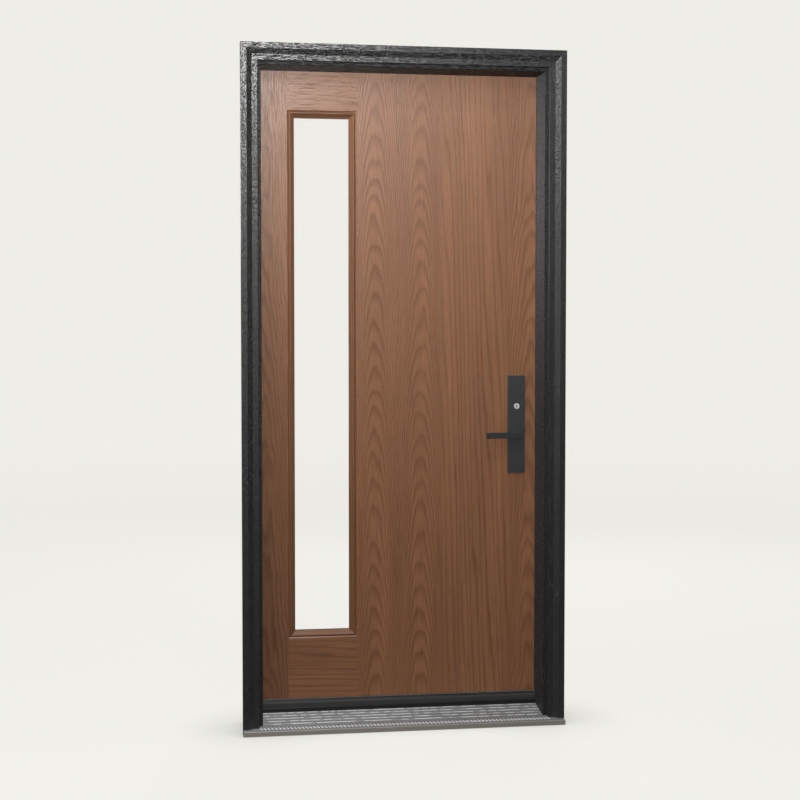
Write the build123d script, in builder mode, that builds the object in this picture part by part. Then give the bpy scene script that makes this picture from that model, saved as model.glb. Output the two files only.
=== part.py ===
"""Inswing fiberglass entrance door with one tall lite, prehung in a rabbeted frame on an aluminium sill.

The origin is the centre of the sill's underside, in the plane of the jambs' exterior edges.
X runs along the sill to the lock side, Y runs indoors and Z runs up. All sizes are millimetres.
"""

import os
from math import cos, radians, sin, sqrt, tan

from build123d import *

# Frame and brickmould
opening_width = 889.0
head_height = 2054.0
jamb_depth = 166.7
jamb_thickness = 31.75
rabbet_depth = 12.7
seal_gap = 10.2
moulding_width = 50.8
moulding_thickness = 27.0
moulding_inner_thickness = 17.0
moulding_flat = 18.0
moulding_bevel = 16.0
edge_reveal = 12.0
edge_round = 1.5

# Sill and threshold
sill_nose = 43.4
deck_height = 21.8
deck_slope = 8.6
deck_wall = 2.0
deck_end = 104.0
rib_count = 5
rib_pitch = 21.4
rib_first = 11.4
rib_width = 3.6
rib_height = 1.2
rib_draft = 65.0
nose_round = 1.6
riser_height = 16.0
riser_lip = 3.5
lip_bevel = 1.2
cap_depth = 51.0
cap_height = 17.0
cap_rise = 4.6
cap_crown = 12.4
cap_heel = 9.2
cap_front = 107.0

# Leaf
leaf_thickness = 44.45
leaf_gap = 5.0
leaf_bevel = 3.0
sweep_height = 3.0
sweep_wall = 2.0
sweep_band = 1.0
sweep_fins = 4
skin = 2.0
stile_width = 42.0
rail_height = 60.0
lock_block_width = 115.0
lock_block_height = 360.0

# Lite
lite_stile = 98.3
lite_top_margin = 126.7
lite_bottom_margin = 195.3
lite_width = 218.6
lite_face = 22.0
lite_groove = 8.0
lite_groove_depth = 3.0
lite_crest = 0.8
lite_lip = 1.5
lite_leg = 2.0
lite_leg_gap = 1.0
glass_recess = 12.0
pane = 4.0
spacer_width = 8.0

# Weatherstrip
kerf_width = 3.0
kerf_depth = 8.0
kerf_inset = 3.0
strip_gap = 5.0
strip_bulge = 1.0
strip_relief = 2.0
strip_round = 2.0

# Hinges
hinge_height = 101.6
hinge_leaf_depth = 36.0
hinge_plate = 2.5
hinge_corner = 6.35
knuckle_radius = 6.5
knuckle_count = 5
knuckle_gap = 0.3
pin_radius = 3.2
pin_clearance = 0.1
pin_offset = 8.0
pin_head = 4.0
pin_head_radius = 5.0
pin_tip = 1.0
hinge_top_margin = 178.0
hinge_bottom_margin = 254.0

# Lock
backset = 70.0
spindle_height = 910.5
lock_centres = 92.0
plate_width = 55.5
plate_height = 313.0
plate_thickness = 10.0
plate_lift = 33.5
plate_round = 1.0
neck_radius = 9.0
bore_clearance = 0.1
plug_relief = 0.5
neck_seat = 6.0
lever_length = 115.5
lever_heel = 9.0
lever_height = 18.5
lever_depth = 14.0
lever_standoff = 32.0
lever_chamfer = 1.0
spindle_side = 8.0
spindle_gap = 0.6
spindle_socket = 22.0
housing_radius = 8.8
housing_gap = 0.2
housing_proud = 3.0
housing_depth = 36.0
plug_radius = 6.2
plug_depth = 30.0
keyway_width = 3.0
keyway_height = 8.6
keyway_depth = 24.0
turn_length = 26.0
turn_height = 18.0
turn_width = 8.0
faceplate_height = 235.0
faceplate_width = 24.0
faceplate_thickness = 3.0
latch_height = 26.0
latch_width = 12.0
bolt_height = 38.0
bolt_width = 14.0
bolt_length = 30.0
bolt_gap = 0.3
strike_height = 180.0
strike_width = 30.0
strike_thickness = 2.0
strike_corner = 4.0
pocket_play = 3.0
pocket_depth = 15.0

# Places worked out from the sizes above
half_opening = opening_width / 2
half_rabbet = half_opening + rabbet_depth
half_jamb = half_opening + jamb_thickness
moulding_inner = half_opening + edge_reveal
moulding_outer = moulding_inner + moulding_width
head_rabbet = head_height + rabbet_depth
head_top = head_height + jamb_thickness
moulding_top = head_height + edge_reveal + moulding_width
leaf_front = jamb_depth - leaf_thickness
leaf_back = jamb_depth
leaf_middle = leaf_front + leaf_thickness / 2
stop_end = leaf_front - seal_gap
half_leaf = half_rabbet - leaf_gap
leaf_top = head_rabbet - leaf_gap
strip_depth = seal_gap - strip_gap
strip_width = rabbet_depth + strip_bulge - strip_relief
slope = tan(radians(deck_slope))
base_top = deck_height + slope * deck_end - deck_wall
riser_top = base_top + riser_height
cap_top = riser_top + cap_height
cap_back = cap_front + cap_depth
leaf_bottom = cap_top + leaf_gap
slab_bottom = leaf_bottom + sweep_height
core_front = leaf_front + skin
core_back = leaf_back - skin
core_depth = core_back - core_front
lock_x = half_leaf - backset
cylinder_height = spindle_height + lock_centres
plate_centre_height = spindle_height + plate_lift
pin_x = -(half_rabbet - leaf_gap / 2)
pin_y = leaf_back + pin_offset
bevel_run = leaf_thickness * tan(radians(leaf_bevel))
lite_top = leaf_top - lite_top_margin
lite_bottom = leaf_bottom + lite_bottom_margin
lite_height = lite_top - lite_bottom
lite_centre_x = -half_leaf + lite_stile + lite_width / 2
lite_centre_z = (lite_top + lite_bottom) / 2
glass_width = lite_width - 2 * (lite_leg + lite_leg_gap)
glass_height = lite_height - 2 * (lite_leg + lite_leg_gap)
glass_front = leaf_front + glass_recess
glass_back = leaf_back - glass_recess
hinge_low = leaf_bottom + hinge_bottom_margin + hinge_height / 2
hinge_top = leaf_top - hinge_top_margin - hinge_height / 2
hinge_levels = {"low": hinge_low, "mid": (hinge_low + hinge_top) / 2, "top": hinge_top}
hole_radius = spindle_side / sqrt(2) + spindle_gap
edge_plane = Plane(
    origin=(half_leaf - bevel_run / 2, leaf_middle, 0),
    x_dir=(sin(radians(leaf_bevel)), cos(radians(leaf_bevel)), 0),
    z_dir=(cos(radians(leaf_bevel)), -sin(radians(leaf_bevel)), 0),
)


def deck_level(y):
    """Height of the sloped deck's walking surface at depth y."""
    return deck_height + slope * y


def save(shape, label):
    """Name a finished piece and write it as one STEP file."""
    shape.label = label
    export_step(shape, f"parts/{label}.step")


def front_plane(y):
    """Plane across the doorway at depth y: its X is X, its Y is Z and it faces outdoors."""
    return Plane(origin=(0, y, 0), x_dir=(1, 0, 0), z_dir=(0, -1, 0))


def side_plane(x):
    """Plane along the doorway's depth at x: its X is Y, its Y is Z and it faces the lock side."""
    return Plane(origin=(x, 0, 0), x_dir=(0, 1, 0), z_dir=(1, 0, 0))


os.makedirs("parts", exist_ok=True)

# Sill substrate with horns under the brickmould, coped between the jambs
with BuildPart() as sill_base:
    with BuildSketch(side_plane(-moulding_outer)):
        with BuildLine():
            Polyline(
                (-sill_nose + deck_wall, 0),
                (jamb_depth, 0),
                (jamb_depth, base_top),
                (deck_end, base_top),
                (-sill_nose + deck_wall, deck_level(-sill_nose + deck_wall) - deck_wall),
                close=True,
            )
        make_face()
    extrude(amount=2 * moulding_outer)
    with BuildSketch(Plane.XY):
        for side in (-1, 1):
            with Locations((side * (half_opening + moulding_outer) / 2, stop_end / 2)):
                Rectangle(moulding_outer - half_opening, stop_end)
            with Locations((side * (half_rabbet + moulding_outer) / 2, (stop_end + jamb_depth) / 2)):
                Rectangle(moulding_outer - half_rabbet, jamb_depth - stop_end)
    extrude(amount=base_top, mode=Mode.SUBTRACT)
save(sill_base.part, "sill_base")

# Aluminium deck: a rounded nose, a ribbed slope and square horns
with BuildPart() as sill_deck:
    with BuildSketch(side_plane(-moulding_outer)):
        with BuildLine():
            Polyline(
                (-sill_nose, 0),
                (-sill_nose + deck_wall, 0),
                (-sill_nose + deck_wall, deck_level(-sill_nose + deck_wall) - deck_wall),
                (deck_end, base_top),
                (deck_end, deck_level(deck_end)),
                (-sill_nose, deck_level(-sill_nose)),
                close=True,
            )
        make_face()
    extrude(amount=2 * moulding_outer)
    nose_edge = sill_deck.edges().filter_by(Axis.X).group_by(Axis.Y)[0].sort_by(Axis.Z)[-1]
    fillet(nose_edge, nose_round)
    with BuildSketch(side_plane(-half_opening)):
        for number in range(rib_count):
            rib_y = rib_first + number * rib_pitch
            with Locations((rib_y, deck_level(rib_y))):
                Trapezoid(rib_width, 2 * rib_height, rib_draft, rotation=deck_slope)
    extrude(amount=2 * half_opening)
    with BuildSketch(Plane.XY):
        for side in (-1, 1):
            with Locations((side * (half_opening + moulding_outer) / 2, deck_end / 2)):
                Rectangle(moulding_outer - half_opening, deck_end)
    extrude(amount=deck_level(deck_end), mode=Mode.SUBTRACT)
save(sill_deck.part, "sill_deck")

# Dark riser that carries the cap, with a thin drip lip along its front
with BuildPart() as threshold_riser:
    with BuildSketch(side_plane(-half_rabbet)):
        with BuildLine():
            Polyline(
                (deck_end, base_top),
                (cap_back, base_top),
                (cap_back, riser_top),
                (deck_end, riser_top),
                (deck_end - riser_lip, riser_top - lip_bevel),
                (deck_end - riser_lip, riser_top - riser_lip),
                (deck_end, riser_top - riser_lip),
                close=True,
            )
        make_face()
    extrude(amount=2 * half_rabbet)
    with BuildSketch(Plane.XY.offset(base_top)):
        for side in (-1, 1):
            with Locations((side * (half_opening + half_rabbet) / 2, stop_end / 2)):
                Rectangle(half_rabbet - half_opening, stop_end)
    extrude(amount=riser_height, mode=Mode.SUBTRACT)
save(threshold_riser.part, "threshold_riser")

# Threshold cap under the leaf, rounded at its front and sloped indoors
with BuildPart() as threshold_cap:
    with BuildSketch(side_plane(-half_rabbet)):
        with BuildLine():
            crown = cap_front + cap_crown
            Line((cap_front, riser_top), (cap_back, riser_top))
            Line((cap_back, riser_top), (cap_back, cap_top - cap_rise))
            Line((cap_back, cap_top - cap_rise), (cap_back - cap_heel, cap_top))
            Line((cap_back - cap_heel, cap_top), (crown, cap_top))
            TangentArc((crown, cap_top), (cap_front, cap_top - cap_rise), tangent=(-1, 0))
            Line((cap_front, cap_top - cap_rise), (cap_front, riser_top))
        make_face()
    extrude(amount=2 * half_rabbet)
    with BuildSketch(Plane.XY.offset(riser_top)):
        for side in (-1, 1):
            with Locations((side * (half_opening + half_rabbet) / 2, stop_end / 2)):
                Rectangle(half_rabbet - half_opening, stop_end)
    extrude(amount=cap_height, mode=Mode.SUBTRACT)
save(threshold_cap.part, "threshold_cap")


def jamb_profile(side):
    """Plan of a side jamb: the stop, the rabbet and the weatherstrip kerf."""
    with BuildSketch(Plane.XY) as profile:
        with BuildLine():
            Polyline(
                (side * half_opening, 0),
                (side * half_jamb, 0),
                (side * half_jamb, jamb_depth),
                (side * half_rabbet, jamb_depth),
                (side * half_rabbet, stop_end),
                (side * half_opening, stop_end),
                close=True,
            )
        make_face()
        fillet(profile.vertices().group_by(Axis.Y)[0].sort_by(Axis.X)[side if side < 0 else 0], edge_round)
        with Locations((side * (half_opening + kerf_inset + kerf_width / 2), stop_end - kerf_depth / 2)):
            Rectangle(kerf_width, kerf_depth, mode=Mode.SUBTRACT)
    return profile.sketch


# Pockets that take the latch and the dead bolt when they are thrown
with BuildPart() as pocket_cutter:
    with BuildSketch(side_plane(half_rabbet)):
        with Locations((leaf_middle, spindle_height)):
            Rectangle(latch_width + pocket_play, latch_height + pocket_play)
        with Locations((leaf_middle, cylinder_height)):
            Rectangle(bolt_width + pocket_play, bolt_height + pocket_play)
    extrude(amount=pocket_depth)

# Side jambs run past the sill's ends to the floor
for jamb_name, side in (("hinge_jamb", -1), ("latch_jamb", 1)):
    with BuildPart() as side_jamb:
        add(jamb_profile(side))
        extrude(amount=head_rabbet)
        if side < 0:
            with BuildSketch(side_plane(-half_rabbet)):
                for level in hinge_levels.values():
                    with Locations((jamb_depth, level)):
                        RectangleRounded(2 * hinge_leaf_depth, hinge_height, hinge_corner)
            extrude(amount=-hinge_plate, mode=Mode.SUBTRACT)
        else:
            with BuildSketch(side_plane(half_rabbet)):
                with Locations((leaf_middle, plate_centre_height)):
                    RectangleRounded(strike_width, strike_height, strike_corner)
            extrude(amount=strike_thickness, mode=Mode.SUBTRACT)
            add(pocket_cutter.part, mode=Mode.SUBTRACT)
    save(side_jamb.part, jamb_name)

# Head jamb with the same stop and kerf, over the side jambs
with BuildPart() as head_jamb:
    with BuildSketch(side_plane(-half_jamb)):
        with BuildLine():
            Polyline(
                (0, head_rabbet),
                (jamb_depth, head_rabbet),
                (jamb_depth, head_top),
                (0, head_top),
                close=True,
            )
        make_face()
    extrude(amount=2 * half_jamb)
    with BuildSketch(side_plane(-half_opening)):
        with Locations((stop_end / 2, (head_height + head_rabbet) / 2)):
            Rectangle(stop_end, rabbet_depth)
        with Locations((stop_end - kerf_depth / 2, head_height + kerf_inset + kerf_width / 2)):
            Rectangle(kerf_depth, kerf_width, mode=Mode.SUBTRACT)
    extrude(amount=opening_width)
    fillet(
        head_jamb.edges().filter_by(Axis.X).group_by(Axis.Y)[0].sort_by(Axis.Z)[0],
        edge_round,
    )
save(head_jamb.part, "head_jamb")


def moulding_profile(plane):
    """Brickmould section on the given plane: X from the outer edge inwards, Y outdoors from the wall."""
    with BuildSketch(plane) as profile:
        with BuildLine():
            Polyline(
                (0, 0),
                (0, moulding_thickness),
                (moulding_flat, moulding_thickness),
                (moulding_flat + moulding_bevel, moulding_inner_thickness),
                (moulding_width, moulding_inner_thickness),
                (moulding_width, 0),
                close=True,
            )
        make_face()
    return profile.sketch


# Side brickmoulds, mitred at the head and cut to the deck's slope at the foot
for moulding_name, side in (("brickmould_hinge", -1), ("brickmould_latch", 1)):
    section = Plane(origin=(side * moulding_outer, 0, 0), x_dir=(-side, 0, 0), z_dir=(0, 0, side))
    mitre = Plane(
        origin=(side * moulding_outer, 0, moulding_top), x_dir=(0, 1, 0), z_dir=(-side, 0, 1)
    )
    foot = Plane(
        origin=(0, 0, deck_height),
        x_dir=(1, 0, 0),
        z_dir=(0, -sin(radians(deck_slope)), cos(radians(deck_slope))),
    )
    with BuildPart() as side_moulding:
        add(moulding_profile(section))
        extrude(amount=moulding_top, dir=(0, 0, 1))
        split(bisect_by=mitre, keep=Keep.BOTTOM)
        split(bisect_by=foot, keep=Keep.TOP)
    save(side_moulding.part, moulding_name)

# Head brickmould, mitred at both ends
with BuildPart() as head_moulding:
    add(
        moulding_profile(
            Plane(origin=(-moulding_outer, 0, moulding_top), x_dir=(0, 0, -1), z_dir=(-1, 0, 0))
        )
    )
    extrude(amount=2 * moulding_outer, dir=(1, 0, 0))
    for side in (-1, 1):
        mitre = Plane(
            origin=(side * moulding_outer, 0, moulding_top), x_dir=(0, 1, 0), z_dir=(-side, 0, 1)
        )
        split(bisect_by=mitre, keep=Keep.TOP)
save(head_moulding.part, "brickmould_head")


# Weatherstrips: a fin pressed in the kerf and a soft bulb that looks out past the stop
for strip_name, side in (("weatherstrip_hinge", -1), ("weatherstrip_latch", 1)):
    with BuildPart() as side_strip:
        with BuildSketch(Plane.XY.offset(cap_top)):
            with Locations(
                (side * (half_opening + kerf_inset + kerf_width / 2), stop_end - kerf_depth / 2)
            ):
                Rectangle(kerf_width, kerf_depth)
            with Locations(
                (side * (half_opening - strip_bulge + strip_width / 2), stop_end + strip_depth / 2)
            ):
                RectangleRounded(strip_width, strip_depth, strip_round)
        extrude(amount=head_height - cap_top)
    save(side_strip.part, strip_name)
with BuildPart() as head_strip:
    with BuildSketch(side_plane(-half_opening)):
        with Locations((stop_end - kerf_depth / 2, head_height + kerf_inset + kerf_width / 2)):
            Rectangle(kerf_depth, kerf_width)
        with Locations((stop_end + strip_depth / 2, head_height + strip_width / 2)):
            RectangleRounded(strip_depth, strip_width, strip_round)
    extrude(amount=opening_width)
save(head_strip.part, "weatherstrip_head")

# Strike plate let into the latch jamb, with holes for the latch and the bolt
with BuildPart() as strike_plate:
    with BuildSketch(side_plane(half_rabbet)):
        with Locations((leaf_middle, plate_centre_height)):
            RectangleRounded(strike_width, strike_height, strike_corner)
    extrude(amount=strike_thickness)
    add(pocket_cutter.part, mode=Mode.SUBTRACT)
save(strike_plate.part, "strike_plate")


# Openings shared by the leaf's layers: the lite, the lock's bores and the hinge mortises
with BuildPart() as lite_cutter:
    with BuildSketch(front_plane(leaf_front)):
        with Locations((lite_centre_x, lite_centre_z)):
            Rectangle(lite_width, lite_height)
    extrude(amount=-leaf_thickness)

with BuildPart() as lock_cutter:
    with BuildSketch(front_plane(leaf_front)):
        with Locations((lock_x, spindle_height)):
            Circle(hole_radius)
        with Locations((lock_x, cylinder_height)):
            Circle(housing_radius + housing_gap)
    extrude(amount=-leaf_thickness)

with BuildPart() as hinge_cutter:
    with BuildSketch(side_plane(-half_leaf)):
        for level in hinge_levels.values():
            with Locations((leaf_back, level)):
                RectangleRounded(2 * hinge_leaf_depth, hinge_height, hinge_corner)
    extrude(amount=hinge_plate)

# Fiberglass skins, one each side of the core, bevelled with the lock edge
for skin_name, start_y in (("exterior_skin", leaf_front), ("interior_skin", core_back)):
    with BuildPart() as skin_part:
        with BuildSketch(front_plane(start_y)):
            with Locations((0, (slab_bottom + leaf_top) / 2)):
                Rectangle(2 * half_leaf, leaf_top - slab_bottom)
        extrude(amount=-skin)
        add(lite_cutter.part, mode=Mode.SUBTRACT)
        add(lock_cutter.part, mode=Mode.SUBTRACT)
        if start_y > leaf_middle:
            add(hinge_cutter.part, mode=Mode.SUBTRACT)
        split(bisect_by=edge_plane, keep=Keep.BOTTOM)
    save(skin_part.part, skin_name)

# Hinge stile
with BuildPart() as hinge_stile:
    with BuildSketch(front_plane(core_front)):
        with Locations((-half_leaf + stile_width / 2, (slab_bottom + leaf_top) / 2)):
            Rectangle(stile_width, leaf_top - slab_bottom)
    extrude(amount=-core_depth)
    add(hinge_cutter.part, mode=Mode.SUBTRACT)
save(hinge_stile.part, "hinge_stile")

# Lock stile with its wider block behind the handle plates
with BuildPart() as lock_stile:
    with BuildSketch(front_plane(core_front)):
        with Locations((half_leaf - stile_width / 2, (slab_bottom + leaf_top) / 2)):
            Rectangle(stile_width, leaf_top - slab_bottom)
        with Locations((half_leaf - lock_block_width / 2, plate_centre_height)):
            Rectangle(lock_block_width, lock_block_height)
    extrude(amount=-core_depth)
    split(bisect_by=edge_plane, keep=Keep.BOTTOM)
    add(lock_cutter.part, mode=Mode.SUBTRACT)
    with BuildSketch(edge_plane):
        with Locations((0, plate_centre_height)):
            Rectangle(faceplate_width, faceplate_height)
    extrude(amount=-faceplate_thickness, mode=Mode.SUBTRACT)
    with BuildSketch(side_plane(half_leaf)):
        with Locations((leaf_middle, spindle_height)):
            Rectangle(latch_width + 2 * bolt_gap, latch_height + 2 * bolt_gap)
        with Locations((leaf_middle, cylinder_height)):
            Rectangle(bolt_width + 2 * bolt_gap, bolt_height + 2 * bolt_gap)
    extrude(amount=-bolt_length, mode=Mode.SUBTRACT)
save(lock_stile.part, "lock_stile")

# Rails between the stiles
for rail_name, rail_z in (
    ("bottom_rail", slab_bottom + rail_height / 2),
    ("top_rail", leaf_top - rail_height / 2),
):
    with BuildPart() as rail:
        with BuildSketch(front_plane(core_front)):
            with Locations((0, rail_z)):
                Rectangle(2 * (half_leaf - stile_width), rail_height)
        extrude(amount=-core_depth)
    save(rail.part, rail_name)

# Foam core, cut round the lite and the lock block
with BuildPart() as foam_core:
    with BuildSketch(front_plane(core_front)):
        with Locations((0, (slab_bottom + leaf_top) / 2)):
            Rectangle(2 * (half_leaf - stile_width), leaf_top - slab_bottom - 2 * rail_height)
        with Locations((half_leaf - lock_block_width / 2, plate_centre_height)):
            Rectangle(lock_block_width, lock_block_height, mode=Mode.SUBTRACT)
    extrude(amount=-core_depth)
    add(lite_cutter.part, mode=Mode.SUBTRACT)
save(foam_core.part, "foam_core")


def lite_frame(face_y, outward):
    """Moulded ring flush with the skin: a V groove, a crest and a long slope down to the pane."""
    middle_leg = leaf_thickness / 2
    section_plane = Plane(
        origin=(lite_centre_x - lite_width / 2, face_y, lite_centre_z),
        x_dir=(1, 0, 0),
        z_dir=(0, 0, -outward),
    )
    centre_plane = Plane(
        origin=(lite_centre_x, face_y, lite_centre_z), x_dir=(1, 0, 0), z_dir=(0, -1, 0)
    )
    with BuildPart() as ring:
        with BuildLine(centre_plane) as path:
            Polyline(
                (-lite_width / 2, 0),
                (-lite_width / 2, lite_height / 2),
                (lite_width / 2, lite_height / 2),
                (lite_width / 2, -lite_height / 2),
                (-lite_width / 2, -lite_height / 2),
                close=True,
            )
        with BuildSketch(section_plane):
            with BuildLine():
                Polyline(
                    (0, 0),
                    (lite_groove / 2, -lite_groove_depth),
                    (lite_groove, lite_crest),
                    (lite_groove + lite_lip, lite_crest),
                    (lite_face, -glass_recess + lite_lip),
                    (lite_face, -glass_recess),
                    (lite_leg, -glass_recess),
                    (lite_leg, -middle_leg),
                    (0, -middle_leg),
                    close=True,
                )
            make_face()
        sweep(path=path.line, transition=Transition.RIGHT)
    return ring.part


save(lite_frame(leaf_front, 1), "outside_lite_frame")
save(lite_frame(leaf_back, -1), "inside_lite_frame")

# Insulated glass: two panes with a spacer between their edges
for pane_name, start_y in (("outside_glass", glass_front), ("inside_glass", glass_back - pane)):
    with BuildPart() as glass:
        with BuildSketch(front_plane(start_y)):
            with Locations((lite_centre_x, lite_centre_z)):
                Rectangle(glass_width, glass_height)
        extrude(amount=-pane)
    save(glass.part, pane_name)
with BuildPart() as glass_spacer:
    with BuildSketch(front_plane(glass_front + pane)):
        with Locations((lite_centre_x, lite_centre_z)):
            Rectangle(glass_width, glass_height)
            Rectangle(glass_width - 2 * spacer_width, glass_height - 2 * spacer_width, mode=Mode.SUBTRACT)
    extrude(amount=-(glass_back - glass_front - 2 * pane))
save(glass_spacer.part, "glass_spacer")

# Sweep under the slab with a row of fins pointing down
with BuildPart() as door_sweep:
    with BuildSketch(side_plane(-half_leaf)):
        with Locations((leaf_middle, slab_bottom - sweep_band / 2)):
            Rectangle(core_depth, sweep_band)
        for fin in range(sweep_fins):
            fin_y = core_front + (fin + 0.5) * core_depth / sweep_fins
            with Locations((fin_y, slab_bottom - sweep_height / 2)):
                Rectangle(sweep_wall, sweep_height)
    extrude(amount=2 * half_leaf - bevel_run)
save(door_sweep.part, "door_sweep")


def plate_body(face_y, outward):
    """Long handle plate with a bearing for the lever's neck and a hole for the cylinder."""
    with BuildPart() as plate:
        with BuildSketch(front_plane(face_y)):
            with Locations((lock_x, plate_centre_height)):
                Rectangle(plate_width, plate_height)
        extrude(amount=outward * plate_thickness)
        rim = plate.faces().sort_by(Axis.Y)[0 if outward > 0 else -1].edges()
        fillet(rim, plate_round)
        with BuildSketch(front_plane(face_y)):
            with Locations((lock_x, spindle_height)):
                Circle(neck_radius + bore_clearance)
            with Locations((lock_x, cylinder_height)):
                Circle(housing_radius + housing_gap)
        extrude(amount=outward * plate_thickness, mode=Mode.SUBTRACT)
    return plate.part


save(plate_body(leaf_front, 1), "outside_plate")
save(plate_body(leaf_back, -1), "inside_plate")


def lever_body(face_y, outward):
    """Straight rectangular lever on a round neck that turns in its plate."""
    back = face_y - outward * lever_standoff
    with BuildPart() as lever:
        with BuildSketch(front_plane(back - outward * plate_thickness)):
            with Locations((lock_x + lever_heel - lever_length / 2, spindle_height)):
                Rectangle(lever_length, lever_height)
        extrude(amount=outward * lever_depth)
        chamfer(lever.edges(), lever_chamfer)
        with BuildSketch(front_plane(face_y - outward * (plate_thickness - neck_seat))):
            with Locations((lock_x, spindle_height)):
                Circle(neck_radius)
        extrude(amount=outward * (neck_seat + lever_standoff))
        with BuildSketch(front_plane(face_y - outward * (plate_thickness - neck_seat))):
            with Locations((lock_x, spindle_height)):
                Rectangle(spindle_side, spindle_side)
        extrude(amount=outward * spindle_socket, mode=Mode.SUBTRACT)
    return lever.part


save(lever_body(leaf_front, 1), "outside_lever")
save(lever_body(leaf_back, -1), "inside_lever")

# One square spindle through both plates
with BuildPart() as spindle:
    spindle_reach = plate_thickness - neck_seat + spindle_socket
    with BuildSketch(front_plane(leaf_front - spindle_reach)):
        with Locations((lock_x, spindle_height)):
            Rectangle(spindle_side, spindle_side)
    extrude(amount=-(leaf_thickness + 2 * spindle_reach))
save(spindle.part, "spindle")

# Cylinder housing from outdoors, with the bore for its plug
with BuildPart() as cylinder_housing:
    with BuildSketch(front_plane(leaf_front - plate_thickness - housing_proud)):
        with Locations((lock_x, cylinder_height)):
            Circle(housing_radius)
    extrude(amount=-(housing_depth + plate_thickness))
    with BuildSketch(front_plane(leaf_front - plate_thickness - housing_proud)):
        with Locations((lock_x, cylinder_height)):
            Circle(plug_radius + bore_clearance)
    extrude(amount=-plug_depth, mode=Mode.SUBTRACT)
save(cylinder_housing.part, "cylinder_housing")

# Key plug with its upright keyway
with BuildPart() as key_plug:
    with BuildSketch(front_plane(leaf_front - plate_thickness - housing_proud)):
        with Locations((lock_x, cylinder_height)):
            Circle(plug_radius)
    extrude(amount=-(plug_depth - plug_relief))
    with BuildSketch(front_plane(leaf_front - plate_thickness - housing_proud)):
        with Locations((lock_x, cylinder_height)):
            Rectangle(keyway_width, keyway_height)
    extrude(amount=-keyway_depth, mode=Mode.SUBTRACT)
save(key_plug.part, "key_plug")

# Thumbturn on the inside plate
with BuildPart() as thumbturn:
    with BuildSketch(front_plane(leaf_back)):
        with Locations((lock_x, cylinder_height)):
            Circle(housing_radius)
    extrude(amount=-(plate_thickness + housing_proud))
    with BuildSketch(front_plane(leaf_back + plate_thickness + housing_proud)):
        with Locations((lock_x, cylinder_height)):
            SlotOverall(turn_length, turn_width, rotation=90)
    extrude(amount=-turn_height)
save(thumbturn.part, "thumbturn")

# Faceplate in the bevelled lock edge, with windows for the bolts
with BuildPart() as lock_faceplate:
    with BuildSketch(edge_plane):
        with Locations((0, plate_centre_height)):
            Rectangle(faceplate_width, faceplate_height)
    extrude(amount=-faceplate_thickness)
    with BuildSketch(side_plane(half_leaf)):
        with Locations((leaf_middle, spindle_height)):
            Rectangle(latch_width + 2 * bolt_gap, latch_height + 2 * bolt_gap)
        with Locations((leaf_middle, cylinder_height)):
            Rectangle(bolt_width + 2 * bolt_gap, bolt_height + 2 * bolt_gap)
    extrude(amount=-bolt_length, mode=Mode.SUBTRACT)
save(lock_faceplate.part, "lock_faceplate")

# Latch and dead bolt, both drawn in and flush with the faceplate
for bolt_name, bolt_z, width, height in (
    ("latch_bolt", spindle_height, latch_width, latch_height),
    ("dead_bolt", cylinder_height, bolt_width, bolt_height),
):
    with BuildPart() as bolt:
        with BuildSketch(side_plane(half_leaf)):
            with Locations((leaf_middle, bolt_z)):
                Rectangle(width, height)
        extrude(amount=-bolt_length)
        split(bisect_by=edge_plane, keep=Keep.BOTTOM)
    save(bolt.part, bolt_name)


def hinge_half(level, side):
    """One half of a butt hinge: side -1 is the jamb's half with its pin, side 1 the leaf's."""
    bottom = level - hinge_height / 2
    knuckle_height = hinge_height / knuckle_count
    face_x = pin_x + side * leaf_gap / 2
    own = range(0, knuckle_count, 2) if side < 0 else range(1, knuckle_count, 2)
    pin_plane = Plane(origin=(pin_x, pin_y, bottom), x_dir=(1, 0, 0), z_dir=(0, -1, 0))
    with BuildPart() as half:
        with BuildSketch(side_plane(face_x)):
            with Locations((leaf_back, level)):
                RectangleRounded(2 * hinge_leaf_depth, hinge_height, hinge_corner)
            with Locations((leaf_back + hinge_leaf_depth / 2, level)):
                Rectangle(hinge_leaf_depth, hinge_height, mode=Mode.SUBTRACT)
        extrude(amount=side * hinge_plate)
        for number in own:
            with BuildSketch(Plane.XY.offset(bottom + number * knuckle_height + knuckle_gap / 2)):
                with Locations((face_x + side * hinge_plate / 2, (leaf_back + pin_y) / 2)):
                    Rectangle(hinge_plate, pin_offset)
                with Locations((pin_x, pin_y)):
                    Circle(knuckle_radius)
                    if side > 0:
                        Circle(pin_radius + pin_clearance, mode=Mode.SUBTRACT)
            extrude(amount=knuckle_height - knuckle_gap)
        if side < 0:
            with BuildSketch(pin_plane):
                with BuildLine():
                    top = hinge_height - knuckle_gap / 2
                    Polyline(
                        (0, -pin_tip),
                        (0, top + pin_head),
                        (pin_head_radius, top + pin_head),
                        (pin_head_radius, top),
                        (pin_radius, top),
                        (pin_radius, -pin_tip),
                        close=True,
                    )
                make_face()
            revolve(axis=Axis((pin_x, pin_y, 0), (0, 0, 1)))
    return half.part


for hinge_name, level in hinge_levels.items():
    save(hinge_half(level, -1), f"hinge_{hinge_name}_frame")
    save(hinge_half(level, 1), f"hinge_{hinge_name}_leaf")
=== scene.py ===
"""Looks of an inswing fiberglass entrance door: stained wood grain, charcoal frame, ribbed sill, black lock.

Laid out as an add-on and run as a script. Every length is in metres, in the door's own frame:
X runs to the lock side, Y runs indoors, Z runs up, and the outdoor side faces -Y.
"""

import math

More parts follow.
